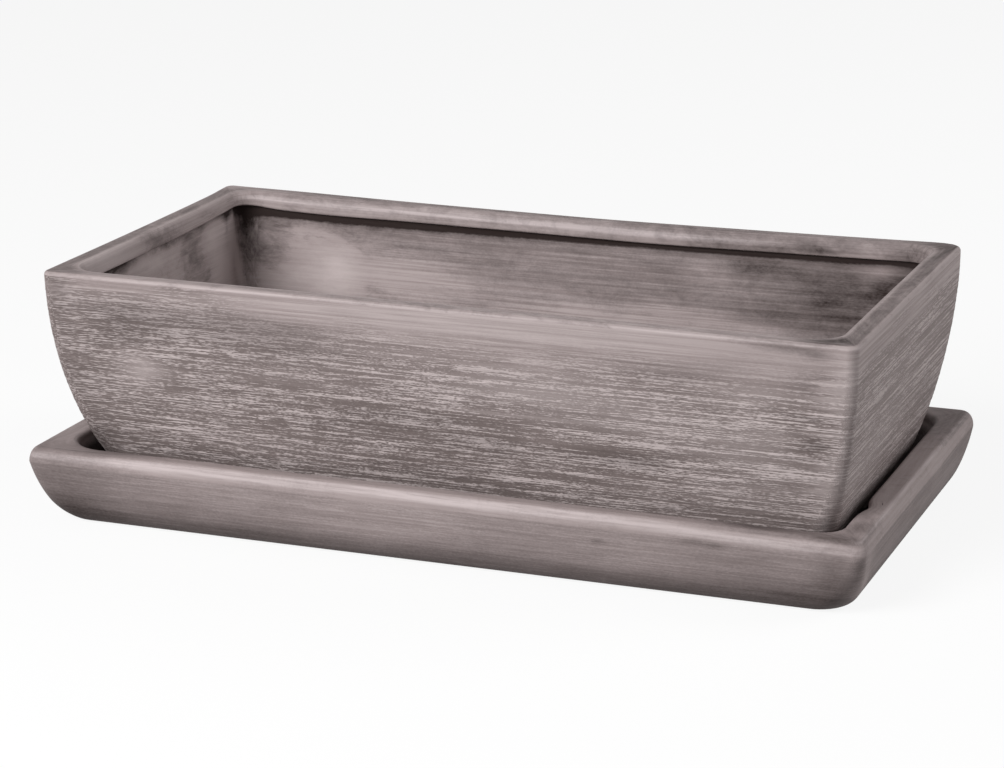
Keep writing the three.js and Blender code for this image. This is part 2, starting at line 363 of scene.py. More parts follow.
class Outline:
    """The columns of a skin: how points are spread round a rectangle with rounded corners."""

    def __init__(self, half_length, half_width, notch=None):
        self.long = self.stops(half_length, notch)
        self.short = self.stops(half_width, notch)

    @staticmethod
    def stops(half, notch):
        """Distances from the middle of a side, closer together at its ends and at a notch's edges."""
        start = 0 if notch is None else notch[1]
        count = round((half - start) / SIDE_STEP)
        side = start + (half - start) * np.sin(np.linspace(0, 1, count + 1)) / math.sin(1)
        if notch is not None:
            inner = np.linspace(0, notch[0], 5)
            edge = np.linspace(*notch, 4)[1:-1]
            side = np.concatenate([inner, edge, side])
        return np.concatenate([-side[:0:-1], side])

    @staticmethod
    def spread(stops, start, end):
        """The stops stretched to other ends, without moving those near the middle."""
        half = stops[-1]
        reach = np.where(stops < 0, -start, end)
        return stops + np.sign(stops) * (reach - half) * (np.abs(stops) / half) ** 3

    def points(self, length, width, radius, near_radius):
        """Points anticlockwise from the left end of the front, whose right corner has its own radius."""
        x, y = length / 2 - radius, width / 2 - radius
        near_x, near_y = length / 2 - near_radius, width / 2 - near_radius
        front, back = self.spread(self.long, -x, near_x), self.spread(self.long, -x, x)
        right, left = self.spread(self.short, -near_y, y), self.spread(self.short, -y, y)
        turn = np.radians(np.linspace(-90, 0, CORNER_STEPS + 1)[1:-1])

        def corner(centre_x, centre_y, size, quarter):
            angle = turn + quarter * math.pi / 2
            return centre_x + size * np.cos(angle), centre_y + size * np.sin(angle)

        pieces = [
            (front, np.full(len(front), -width / 2)),
            corner(near_x, -near_y, near_radius, 0),
            (np.full(len(right), length / 2), right),
            corner(x, y, radius, 1),
            (-back, np.full(len(back), width / 2)),
            corner(-x, y, radius, 2),
            (np.full(len(left), -length / 2), -left),
            corner(-x, -y, radius, 3),
        ]
        return np.stack([np.concatenate(axis) for axis in zip(*pieces)], axis=1)

    def half_count(self):
        """How many columns the front, the right end and their corners have."""
        return len(self.long) + len(self.short) + 2 * (CORNER_STEPS - 1)


class Skin:
    """A closed skin: rows of an outline, and a cap over the first and over the last row.

    In the zones named, the front right corner is squarer than the others, down to the least radius.
    """

    def __init__(self, outline, length, width, section, squarer, least):
        self.outline = outline
        self.table, self.zones = section
        rings = []
        for (inset, z, radius, end_extra), zone in zip(self.table, self.zones):
            near = radius
            if zone in squarer and radius > least:
                near = least + NEAR_CORNER_SHARE * (radius - least)
            ring = outline.points(length - 2 * (inset + end_extra), width - 2 * inset, radius, near)
            rings.append(np.column_stack([ring, np.full(len(ring), z)]))
        self.grid = np.array(rings)
        self.measure()

    def measure(self):
        """Distance round the skin for each column, and along the section for each row."""
        middle = self.grid[np.argmax(self.zones == "wall")]
        steps = np.linalg.norm(np.roll(middle, -1, axis=0) - middle, axis=1)
        self.along = np.concatenate([[0], np.cumsum(steps)])
        steps = np.linalg.norm(np.diff(self.table[:, :2], axis=0), axis=1)
        self.down = np.concatenate([[0], np.cumsum(steps)])

    def axes(self):
        """X, Y and Z of each point."""
        return (self.grid[..., i] for i in range(3))

    def grain(self):
        """A place for each point, on which patterns run round the skin without a seam."""
        angle = 2 * math.pi * self.along[:-1] / self.along[-1]
        reach = self.along[-1] / (2 * math.pi)
        rows, columns = self.grid.shape[:2]
        round_x = np.broadcast_to(reach * np.cos(angle), (rows, columns))
        round_y = np.broadcast_to(reach * np.sin(angle), (rows, columns))
        return np.stack([round_x, round_y, np.broadcast_to(self.down[:, None], (rows, columns))], axis=2)

    def normals(self):
        """Outward directions, from the neighbours of each point."""
        across = np.roll(self.grid, -1, axis=1) - np.roll(self.grid, 1, axis=1)
        up = np.gradient(self.grid, axis=0)
        normal = np.cross(across, up)
        return normal / np.maximum(np.linalg.norm(normal, axis=2, keepdims=True), 1e-9)


def cap(ring, first, offset, holes, upward):
    """Triangles over a flat ring with round holes: new points, faces, and each hole's indices."""
    z = ring[0, 2]
    points = [Vector(p[:2]) for p in ring]
    count = len(points)
    edges = [(i, (i + 1) % count) for i in range(count)]
    hole_rings = []
    for x, y, radius in holes:
        start = len(points)
        points += [Vector(p) for p in circle((x, y), radius)]
        edges += [(start + i, start + (i + 1) % ROUND_STEPS) for i in range(ROUND_STEPS)]
        hole_rings.append(range(start, start + ROUND_STEPS))

    # Points inside the ring, clear of the holes and of the rounded corners
    half_x, half_y = np.abs(ring[:, :2]).max(axis=0) - CAP_STEP / 2
    for x in np.linspace(-half_x, half_x, round(2 * half_x / CAP_STEP) + 1):
        for y in np.linspace(-half_y, half_y, round(2 * half_y / CAP_STEP) + 1):
            corner = math.hypot(max(abs(x) - half_x + CAP_STEP, 0), max(abs(y) - half_y + CAP_STEP, 0))
            clear = all(math.hypot(x - a, y - b) > r + CAP_STEP / 2 for a, b, r in holes)
            if clear and corner < 1.2 * CAP_STEP:
                points.append(Vector((x, y)))

    # Triangles, without those that fill a hole
    placed, _, triangles, sources, _, _ = delaunay_2d_cdt(points, edges, [], 0, 1e-6)
    index = [offset + s[0] - count if s[0] >= count else first + s[0] for s in sources]
    faces = []
    for triangle in triangles:
        x, y = np.mean([placed[i] for i in triangle], axis=0)
        if all(math.hypot(x - a, y - b) > r * 0.99 for a, b, r in holes):
            a, b, c = (index[i] for i in triangle)
            faces.append((a, b, c) if upward else (a, c, b))
    new_points = np.array([(p.x, p.y, z) for p in points[count:]]).reshape(-1, 3)
    rings = [[offset + i - count for i in hole] for hole in hole_rings]
    return new_points, faces, rings


class Body:
    """A mesh in the making, from a skin, its caps and the walls of its holes."""

    def __init__(self, skin, holes=(), hole_edge=0.0):
        rows, columns = skin.grid.shape[:2]
        self.skin = skin
        self.points = skin.grid.reshape(-1, 3)
        self.faces = []
        for i in range(rows - 1):
            for j in range(columns):
                k = (j + 1) % columns
                low, high = i * columns, (i + 1) * columns
                self.faces.append((low + j, low + k, high + k, high + j))
        self.side_count = len(self.faces)
        upper_holes = [(x, y, radius + hole_edge) for x, y, radius in holes]
        below = self.close(skin.grid[0], 0, holes, False)
        self.below_count = len(self.faces) - self.side_count
        above = self.close(skin.grid[-1], (rows - 1) * columns, upper_holes, True)
        self.above_count = len(self.faces) - self.side_count - self.below_count
        for lower, upper in zip(below, above):
            self.pierce(lower, upper, hole_edge)

    def close(self, ring, first, holes, upward):
        points, faces, rings = cap(ring, first, len(self.points), holes, upward)
        self.points = np.concatenate([self.points, points])
        self.faces += faces
        return rings

    def pierce(self, lower, upper, edge):
        """The wall of a round hole, with its upper edge rounded."""
        low, high = self.points[lower], self.points[upper]
        spokes = low[:, :2] - low[:, :2].mean(axis=0)
        spokes /= np.linalg.norm(spokes[0])
        rings = [lower]
        for t in np.radians((0, 30, 60)):
            ring = low.copy()
            ring[:, :2] += spokes * edge * (1 - math.cos(t))
            ring[:, 2] = high[0, 2] - edge * (1 - math.sin(t))
            rings.append(list(range(len(self.points), len(self.points) + len(ring))))
            self.points = np.concatenate([self.points, ring])
        rings.append(upper)
        count = len(lower)
        for inner, outer in zip(rings, rings[1:]):
            for j in range(count):
                k = (j + 1) % count
                self.faces.append((inner[k], inner[j], outer[j], outer[k]))

    def layout(self):
        """A place on a flat sheet, 0 to 1, for each face corner: two strips, the caps and the holes."""
        skin, gap = self.skin, 4.0
        columns = skin.grid.shape[1]
        half = skin.outline.half_count()
        across = np.stack([skin.along[:-1], skin.along[1:], skin.along[1:], skin.along[:-1]], axis=1)
        second = np.arange(columns) >= half
        across = across - np.where(second, skin.along[half], 0)[:, None]
        strip = skin.down[-1] + gap
        up = np.stack([skin.down[:-1], skin.down[:-1], skin.down[1:], skin.down[1:]], axis=1)
        up = up[:, None, :] + np.where(second, strip, 0)[None, :, None]
        side = np.stack([np.broadcast_to(across, up.shape), up], axis=3).reshape(-1, 2)

        sheets, height = [side], 2 * strip
        first = self.side_count
        for count in (self.below_count, self.above_count):
            corners = self.points[np.array(self.faces[first : first + count]).ravel(), :2]
            corners = corners - corners.min(axis=0)
            sheets.append(corners + (0, height))
            wide = corners[:, 0].max() + gap
            height += corners[:, 1].max() + gap
            first += count
        step, tall = np.arange(ROUND_STEPS), 3
        turn = np.stack([step + 1, step, step, step + 1], axis=1)
        rise = np.broadcast_to((0, 0, tall, tall), turn.shape)
        ring = np.stack([turn, rise], axis=2).reshape(-1, 2) + (wide, 2 * strip)
        for i in range((len(self.faces) - first) // ROUND_STEPS):
            sheets.append(ring + (0, i * (tall + gap)))
        sheet = np.concatenate(sheets)
        return sheet / (max(sheet.max(), height) + gap)


def make_object(name, points, faces, material):
    """A mesh object from points in millimetres."""
    mesh = bpy.data.meshes.new(name)
    mesh.from_pydata([tuple(p * MM) for p in points], [], faces)
    mesh.materials.append(material)
    piece = bpy.data.objects.new(name, mesh)
    bpy.context.scene.collection.objects.link(piece)
    return piece


def finish_mesh(piece):
    """Joins points that fell together, and smooths all but the sharp edges."""
    mesh = piece.data
    work = bmesh.new()
    work.from_mesh(mesh)
    bmesh.ops.remove_doubles(work, verts=work.verts, dist=JOIN_DISTANCE * MM)
    work.to_mesh(mesh)
    work.free()
    mesh.shade_smooth()
    mesh.set_sharp_from_angle(angle=math.radians(SHARP_ANGLE))


def paint(piece, name, values):
    """A number or a place for each face corner of a piece, which its material reads by name."""
    kind, field = ("FLOAT", "value") if values.ndim == 1 else ("FLOAT_VECTOR", "vector")
    layer = piece.data.attributes.new(name, kind, "CORNER")
    layer.data.foreach_set(field, values.astype(np.float32).ravel())


def dress(piece, body, grain, values):
    """Paints a skin's values on its piece. The caps, which lie flat, have strokes along X instead."""
    vertex = np.empty(len(piece.data.loops), int)
    piece.data.loops.foreach_get("vertex_index", vertex)
    skin_count = grain.shape[0] * grain.shape[1]
    on_skin = np.minimum(vertex, skin_count - 1)
    places = body.points[vertex]
    flat = np.stack([places[:, 0], places[:, 2], places[:, 1]], axis=1)
    is_side = np.arange(len(vertex)) < 4 * body.side_count
    paint(piece, "grain", np.where(is_side[:, None], grain.reshape(-1, 3)[on_skin], flat))
    for name, (value, rest) in values.items():
        paint(piece, name, np.where(vertex < skin_count, value.ravel()[on_skin], rest))
    sheet = piece.data.uv_layers.new(name="OFBake")
    sheet.data.foreach_set("uv", body.layout().astype(np.float32).ravel())


class Nodes:
    """Short ways to add the nodes of a material or a world."""

    def __init__(self, owner, shader="Principled BSDF"):
        owner.use_nodes = True
        self.owner = owner
        self.tree = owner.node_tree
        self.shader = self.tree.nodes[shader]

    def put(self, target, value):
        if isinstance(value, bpy.types.NodeSocket):
            self.tree.links.new(value, target)
        else:
            target.default_value = value

    def add(self, kind, inputs, **settings):
        """A new node's outputs, after its settings and its inputs are filled in."""
        node = self.tree.nodes.new(kind)
        for name, value in settings.items():
            setattr(node, name, value)
        for name, value in inputs.items():
            self.put(node.inputs[name], value)
        return node.outputs

    def math(self, operation, first, second, clamp=False):
        return self.add("ShaderNodeMath", {0: first, 1: second}, operation=operation, use_clamp=clamp)[0]

    def step(self, value, low, high, start=0.0, end=1.0):
        """Value carried from low..high to start..end, smoothly and no further."""
        inputs = {"Value": value, "From Min": low, "From Max": high, "To Min": start, "To Max": end}
        return self.add("ShaderNodeMapRange", inputs, interpolation_type="SMOOTHSTEP")["Result"]

    def mix(self, factor, first, second):
        return self.add("ShaderNodeMix", {0: factor, 6: first, 7: second}, data_type="RGBA")[2]

    def attribute(self, name, output="Fac"):
        return self.add("ShaderNodeAttribute", {}, attribute_name=name)[output]

    def noise(self, vector, grain, detail, roughness=0.5, distortion=0.0):
        """Noise of about 0.25 to 0.75, whose grain is in millimetres along each axis."""
        place = self.add("ShaderNodeVectorMath", {0: vector, 1: grain}, operation="DIVIDE")[0]
        inputs = {"Vector": place, "Scale": 1.0, "Detail": detail, "Roughness": roughness}
        return self.add("ShaderNodeTexNoise", {**inputs, "Distortion": distortion})["Fac"]

    def bump(self, height, distance, below=None):
        inputs = {"Height": height, "Distance": distance * MM}
        if below is not None:
            inputs["Normal"] = below
        return self.add("ShaderNodeBump", inputs)["Normal"]

    def set(self, name, value):
        self.put(self.shader.inputs[name], value)


def colour(*screen):
    """A colour given as it shows on a screen, each part from 11 to 255."""
    linear = ((np.array(screen) / 255 + 0.055) / 1.055) ** 2.4
    return (*linear, 1.0)


def ceramic(name, ground, smooth, pale, worn_and_lit, reach):
    """Dry-brushed clay: pale strokes on a darker ground, smooth parts with streaks, and worn edges that
    also carry painted highlights and painted light; its tone also carries painted shade.
    """
    nodes = Nodes(bpy.data.materials.new(name))
    math_node, mix, step, read = nodes.math, nodes.mix, nodes.step, nodes.attribute
    grain = read("grain", "Vector")
    rough = read("rough")

    def marks(along, across, *more):
        """Noise whose grain is in millimetres along and across the strokes."""
        return nodes.noise(grain, (along, along, across), *more)

    lines = marks(90.0, 0.6, 1.0)
    sweeps = marks(45.0, 2.2, 2.0)
    dashes = marks(8.0, 0.48, 1.0)
    flecks = marks(1.6, 0.45, 1.0)
    patches = marks(24.0, 7.0, 2.0)
    streaks = marks(reach, 1.25, 4.0, 0.65)
    washes = marks(70.0, 3.6, 3.0, 0.6)
    clouds = marks(60.0, 26.0, 3.0, 0.5)
    stains = marks(9.0, 6.0, 4.0, 0.6, 1.0)
    smears = marks(30.0, 15.0, 5.0, 0.6, 1.5)
    grit = marks(1.3, 0.8, 2.0, 0.6)

    def times(first, second, clamp=False):
        return math_node("MULTIPLY", first, second, clamp)

    def about(value, weight):
        """How far noise is from its middle, weighted."""
        return times(math_node("SUBTRACT", value, 0.5), weight)

    def total(first, *others):
        for other in others:
            first = math_node("ADD", first, other)
        return first

    def weight(short, long):
        """A weight that goes from one value, where strokes are short, to another where they are long."""
        return step(read("long"), 0.0, 1.0, short, long)

    # Pale strokes where the clay is rough, and soft streaks where it is smooth
    brush = total(about(lines, weight(0.4, 0.65)), about(sweeps, weight(0.3, 0.5)))
    brush = total(brush, about(dashes, weight(0.75, 0.5)), about(flecks, weight(0.6, 0.52)))
    brush = total(brush, about(patches, 0.2), about(read("stroke"), 0.03))
    cover = step(brush, -0.045, 0.16)
    level = times(about(step(streaks, 0.34, 0.66), 1.0), read("brush"))
    brushed = mix(total(level, 0.5), mix(0.4, smooth, ground), mix(0.4, smooth, pale))
    base = mix(rough, brushed, mix(cover, ground, pale))

    # Worn edges, painted highlights and painted light, broken by the streaks
    broken = step(total(streaks, about(dashes, 0.15)), 0.3, 0.65, 0.35, 1.0)
    base = mix(times(read("wear_and_painted_light"), broken), base, worn_and_lit)

    # Stains and washes, which darken the clay or make it paler, added to the painted tone, which also
    # holds painted shade and painted light
    stained = times(total(about(stains, 1.4), about(smears, 1.5)), read("mottle"))
    washed = times(about(washes, 1.6), read("wash"))
    tone = total(read("tone"), about(clouds, 0.4), stained, washed, about(grit, 0.35))
    shaded = mix(times(tone, -1.0, True), base, colour(40, 30, 28))
    nodes.set("Base Color", mix(times(tone, 0.6, True), shaded, pale))
    nodes.set("Roughness", step(cover, 0.0, 1.0, 0.66, 0.78))
    nodes.set("Specular IOR Level", 0.15)
    nodes.set("Normal", nodes.bump(streaks, 0.12, nodes.bump(times(cover, rough), 0.1)))
    return nodes.owner


def rubber(name):
    """Matt black rubber with a fine grain."""
    nodes = Nodes(bpy.data.materials.new(name))
    place = nodes.add("ShaderNodeTexCoord", {})["Object"]
    grain = nodes.noise(place, (0.6 * MM,) * 3, 2.0, 0.6)
    nodes.set("Base Color", nodes.mix(grain, colour(34, 34, 35), colour(56, 56, 57)))
    nodes.set("Roughness", nodes.step(grain, 0.3, 0.7, 0.75, 0.92))
    nodes.set("Normal", nodes.bump(grain, 0.05))
    return nodes.owner


def spots(x, z, marks):
    """The sum of soft oval spots, each given as its middle, its reach both ways and its strength."""
    total = np.zeros(x.shape)
    for middle_x, middle_z, reach_x, reach_z, strength in marks:
        distance = ((x - middle_x) / reach_x) ** 2 + ((z - middle_z) / reach_z) ** 2
        total += strength * np.exp(-distance)
    return total


class Facing:
    """Which way the points of a skin look: up from -1 to 1, and every other way as a share."""

    def __init__(self, skin):
        normals = skin.normals()
        self.up = normals[..., 2]
        level = np.linalg.norm(normals[..., :2], axis=2)
        x, y = (normals[..., i] / np.maximum(level, 1e-6) for i in (0, 1))
        self.right, self.front = np.clip(x, 0, 1) ** 2, np.clip(-y, 0, 1) ** 2
        self.corner = 1 - ramp(0.6, 0.97, np.maximum(x**2, y**2))


class Places:
    """For each point of a skin: where it lies, which way it looks and in which zone it is."""

    def __init__(self, skin):
        self.x, self.y, self.z = skin.axes()
        self.facing = Facing(skin)
        self.zones = np.broadcast_to(skin.zones[:, None], self.x.shape)

    def zone(self, *names):
        return np.isin(self.zones, names)


class BoxPlaces(Places):
    """The same for the box, and places that wander, on which spots get ragged edges."""

    def __init__(self, skin, grain):
        super().__init__(skin)
        wander = 6 * noise_at(grain, 18, 10, 4.4)
        self.rise = 4 * noise_at(grain, 24, 9, 7.2)
        self.along_x, self.along_y, self.up = self.x + wander, self.y + wander, self.z + self.rise


def settle(skin, grain):
    """Hand-made unevenness: how far each point of the skin sinks in, here more and there less."""
    wave = np.clip(noise_at(grain, 70, 30, 5.9) - 0.7, -1.4, 0) / 1.4
    return skin.normals() * (SETTLING * wave)[..., None]


def warp_box(skin):
    """The walls sag and bow a little, as fired clay does, and the lip's lower edge wanders."""
    x, y, z = skin.axes()
    height = np.clip((z - SEAT_Z) / BOX_HEIGHT, 0, 1) ** 2
    back = ramp(60, 95, y) * (1 - (x / (BOX_LENGTH / 2)) ** 2) * height
    left = ramp(-150, -190, x) * (1 - (y / (BOX_WIDTH / 2)) ** 2) * height
    pulled_corner = spots(x, y, ((-196, 102, 26, 16, 1.0),)) * height
    worn_corner = spots(x, y, ((201, 107, 7, 7, BACK_RIGHT_WEAR),)) * height
    inner = np.isin(skin.zones, ("lip", "inside"))[:, None]
    lip_shift = inner * bell(z, LIP_BOTTOM, 5) * (spots(x, y, LIP_WANDER) - 0.4)
    skin.grid[..., 0] += LEFT_DRAWN_IN * left - BACK_LEFT_PULL[0] * pulled_corner - worn_corner
    skin.grid[..., 1] -= BACK_DRAWN_IN * back + BACK_LEFT_PULL[1] * pulled_corner + worn_corner
    skin.grid[..., 2] += lip_shift - BACK_SAG * back - worn_corner


# Spots on the box's walls, from left to right: each has a middle along the wall and up it, its reach
# both ways and its strength
FRONT_TONES = (
    (-194, 90, 8, 60, -0.1), (-192, 118, 9, 8, -0.35), (-180, 66, 9, 18, -0.2),
    (-178, 38, 12, 10, -0.5), (-160, 109, 22, 8, -0.2), (-158, 94, 20, 6, -0.2), (-152, 80, 12, 8, 0.5),
    (-140, 78, 25, 5, 0.15), (-120, 104, 60, 8, -0.12), (-100, 45, 50, 10, 0.2),
    (-90, 108, 60, 10, -0.22), (-72, 95, 24, 6, -0.15), (-45, 63, 40, 7, -0.15), (-8, 68, 26, 8, -0.15),
    (17, 55, 25, 5, -0.15), (20, 70.5, 30, 2.4, -0.1), (25, 61, 22, 6, -0.2), (40, 76, 55, 0.9, 0.45),
    (45, 81, 40, 1.6, -0.1), (50, 119, 120, 7, 0.6), (50, 90, 44, 10, 0.4), (53, 87, 40, 6, 0.25),
    (70, 47, 60, 5, -0.12), (88, 60, 22, 6, -0.2), (90, 58, 60, 6, -0.2), (110, 78, 44, 16, 0.3),
    (118, 106, 28, 7, -0.2), (120, 47, 80, 12, 0.32), (124, 117, 40, 6, -0.15), (150, 68, 24, 10, 0.25),
    (152, 97, 18, 8, 0.4), (157, 80, 16, 8, 0.35), (168, 121.6, 22, 2.4, -0.5),
    (172, 104, 12, 2.6, -0.2), (176, 90, 13, 2.2, -0.3), (178, 30, 14, 8, -0.2),
    (180, 77, 12, 4.5, -0.5), (182, 107, 10, 6, -0.2), (184, 119.5, 9, 2.6, -0.4),
)
FRONT_SMOOTH = (
    (-152, 80, 10, 8, 0.6), (-150, 117, 55, 9, 0.4), (-75, 108, 45, 12, 0.3), (-60, 85, 60, 9, 0.2),
    (40, 114, 120, 14, 1.0), (130, 24, 70, 9, 0.35), (160, 112, 50, 11, 0.7),
)
END_TONES = ((-60, 60, 50, 25, 0.3),)
BACK_TONES = (
    (-168, 98, 8, 12, -0.3), (-152, 78, 22, 10, 0.6), (-150, 100, 12, 8, 0.3),
    (-138, 111, 34, 5, -0.15), (-133, 90, 13, 11, 1.3), (-129, 76, 12, 7, 0.4), (-113, 80, 7, 4, -0.3),
    (-104, 93, 16, 7, 0.25), (-90, 86, 30, 10, 0.35), (-76, 101, 40, 6, -0.2), (-40, 78, 40, 6, -0.2),
    (-8, 90, 90, 6, -0.15), (30, 75, 85, 7, 0.3), (30, 98, 80, 10, -0.15), (35, 86, 60, 7, -0.12),
    (60, 108, 50, 5, -0.15), (74, 102, 14, 5, 0.3), (95, 84, 24, 7, -0.2), (98, 106, 16, 7, -0.3),
    (116, 97, 9, 8, 0.12), (120, 103, 10, 6, -0.25), (130, 78, 12, 6, -0.1), (130, 92, 24, 20, -0.45),
    (140, 104, 9, 12, -0.15), (158, 84, 22, 20, -0.5), (158, 109, 9, 4, 0.35), (160, 100, 8, 7, -0.3),
    (178, 104, 14, 12, -0.5),
)
# On the left wall inside: pale and dark spots, the palest made paler than the paint as painted light for
# that shaded corner; pale worn spots, partly painted light too; a pale ridge; and painted shade where a
# groove would be
LEFT_TONES_AND_LIGHT = (
    (-24, 109, 12, 5, 0.5), (-4, 109, 18, 5, 0.8), (12, 95, 24, 10, 0.4), (34, 101, 10, 9, -0.5),
    (60, 106, 12, 9, 1.2), (70, 87, 10, 10, 2.0), (76, 84, 8, 16, 0.5),
)
LEFT_WEAR_AND_LIGHT = ((68, 86, 14, 14, 0.8), (76, 108, 9, 5, 0.9))
LEFT_RIDGE = ((85.5, 92, 2.0, 18, 1.0),)
LEFT_GROOVE_SHADE = ((80.3, 95, 2.4, 20, 0.5),)
BACK_LIP_TONES = (
    (75, 119, 14, 5, -0.15), (102, 118, 16, 6, -0.3), (130, 119, 14, 4, -0.5),
    (142, 116.8, 26, 1.0, 0.6), (177, 120, 10, 6, -0.35),
)
LEFT_LIP_TONES = ((-60, 119, 30, 8, 0.9), (-8, 119, 14, 8, -0.4))
LEFT_LIP_WEAR = ((-56, 119, 24, 8, 0.2),)

# Spots on the rim, and how far the lip's lower edge is moved up, along X and Y
RIM_TONES = (
    (-195, 103, 12, 6, 0.5), (-190, -100, 18, 9, -0.2), (181, 88, 7, 5, -0.45), (182, -98, 14, 6, -0.5),
    (196, -105, 6, 4, 0.4),
)
LIP_WANDER = ((-189, 95, 14, 40, 2.0), (-140, 95, 34, 40, -0.6), (45, 95, 50, 40, -0.6))


def corner_ridge(skin):
    """A thin upright ridge on the left wall inside, beside the back corner."""
    x, y, z = skin.axes()
    inside = (skin.zones == "inside")[:, None]
    return inside * (x < 0) * spots(y, z, LEFT_RIDGE)


def wall_look(at, grain):
    """How rough and how pale the box is outside, with painted shade at the foot and beside the front
    right corner.
    """
    x, y, z, facing = at.x, at.y, at.z, at.facing
    wall = at.zone("wall", "foot")
    right_corner = facing.corner * (x > 0) * (y < 0)
    below_rim = ramp(BOX_TOP - 3, BOX_TOP - 9 - 9 * ramp(-140, -50, x), z + 3 * at.rise)
    smooth = spots(at.along_x, at.up, FRONT_SMOOTH) * facing.front + 0.25 * (1 - facing.front)
    rough = wall * below_rim * (1 - 0.85 * np.clip(smooth, 0, 1)) * (1 - 0.35 * right_corner)

    # A pale strip beside the front right corner, into which strokes reach like fingers
    from_end = BOX_LENGTH / 2 - END_TAPER * share_down(z) ** 2 - x
    fingers = 16 * noise_at(grain, 60, 2.6, 6.3)
    wide = 20 - 6 * ramp(98, 112, z)
    strip = ramp(wide, wide - 12, from_end + fingers) * facing.front**0.25
    strip *= ramp(36, 56, z) * ramp(123, 117, z)
    tone = strip * (0.55 + 0.3 * ramp(90, 110, z))
    tone += facing.front * spots(at.along_x, z, FRONT_TONES) + facing.right * spots(y, z, END_TONES)

    # Painted shade darkens the foot and painted light lifts it at that corner; a dark seam, partly the
    # paint's own and partly painted core shade, runs up behind the strip
    near_foot = right_corner + ramp(14, 4, from_end) * facing.front
    tone -= ramp(60, 20, z) * (0.2 - 0.95 * np.clip(near_foot, 0, 1))
    ragged = 0.3 * noise_at(grain, 4, 3, 2.6)
    seam_and_shade = bell(facing.right + ragged, 0.75, 0.2) * right_corner
    tone -= 0.4 * seam_and_shade * ramp(120, 80, z) * ramp(26, 50, z)
    return rough, wall * tone


def rim_look(at):
    """How pale and how worn the box's rim and its lip are, with painted shade on the flats and along the
    back top, and painted highlights on the edges.
    """
    x, y, z, facing = at.x, at.y, at.z, at.facing
    rim, lip = at.zone("rim"), at.zone("lip")
    back_lip, left_lip = lip * (y > 0) * facing.front, lip * facing.right
    left_end, right_end = ramp(-165, -190, x), ramp(165, 190, x)
    back_side, not_right = ramp(80, 98, y), ramp(125, 70, x)
    drop = BOX_TOP - z

    # Painted shade on the rim's upward-facing flats, more at the ends and at the back
    top_shade = 0.4 * right_end * (1 + 0.2 * back_side) + 0.23 * left_end
    top_shade = np.maximum(top_shade, back_side * (0.2 * ramp(-20, 80, x) - 0.08))
    tone = (rim | lip) * spots(x, y, RIM_TONES)
    tone -= rim * ramp(0.9, 1.0, facing.up) * (0.12 + top_shade)
    tone += back_lip * (spots(at.along_x, z, BACK_LIP_TONES) - 0.02 - 0.14 * ramp(-20, 60, x))
    tone += left_lip * spots(at.along_y, z, LEFT_LIP_TONES)
    # Painted shade along the top of the back rim and lip, above its painted highlight
    back_top_shade = ramp(3, 1.4, drop) * np.maximum(back_lip, rim * back_side)
    tone -= 0.2 * back_top_shade * not_right * ramp(-185, -140, x)

    # Painted highlights on the rim's outer edge and on the back lip, and worn pale spots on the left lip
    wear_and_painted_light = rim * bell(facing.up, 0.45, 0.25) * (0.3 + 0.25 * np.exp(-((x / 150) ** 4)))
    wear_and_painted_light *= 1 - 0.85 * right_end * ramp(-100, -80, y)
    wear_and_painted_light += 0.95 * back_lip * bell(drop, 3.8, 1.5) * not_right
    wear_and_painted_light += left_lip * spots(at.along_y, z, LEFT_LIP_WEAR)
    return tone, wear_and_painted_light


def inside_look(at, grain, ridge):
    """How pale and how worn the box is inside, with painted shade under the lip and in the back left
    corner, and painted light on the left wall.
    """
    x, y, z, facing = at.x, at.y, at.z, at.facing
    tone = facing.front * spots(at.along_x, at.up, BACK_TONES)
    tone += facing.right * spots(at.along_y, at.up, LEFT_TONES_AND_LIGHT)
    # Painted shade in the back left inner corner; the inside is also darker overall
    back_left_shade = ramp(0.85, 0.5, facing.right) * ramp(-175, -184, x) * (y > 0)
    tone -= 0.17 + back_left_shade * (0.28 + 0.3 * ramp(80, 105, z))

    # A painted shadow line under the lip, and a soft painted shade below it on the back wall
    below_lip = np.maximum(LIP_BOTTOM - z, 0) / (3.3 + 1.3 * ramp(0, -90, x))
    tone -= np.exp(-(below_lip**3.5)) * (1 - 0.5 * facing.right * ramp(80, 66, y))
    tone -= facing.front * bell(z, LIP_BOTTOM, 7.5) * (0.15 + 0.25 * ramp(40, -40, x))

    # The ridge on the left wall is pale beside painted shade where a groove would be, upright marks run
    # down that wall, and pale worn spots there are partly painted light
    tone += 2.6 * ridge - facing.right * spots(y, z, LEFT_GROOVE_SHADE)
    tone += 0.3 * facing.right * noise_at(grain, 8, 40, 9.2)
    wear_and_painted_light = 0.6 * ridge + facing.right * spots(at.along_y, at.up, LEFT_WEAR_AND_LIGHT)
    inside = at.zone("inside")
    return inside * tone, inside * wear_and_painted_light


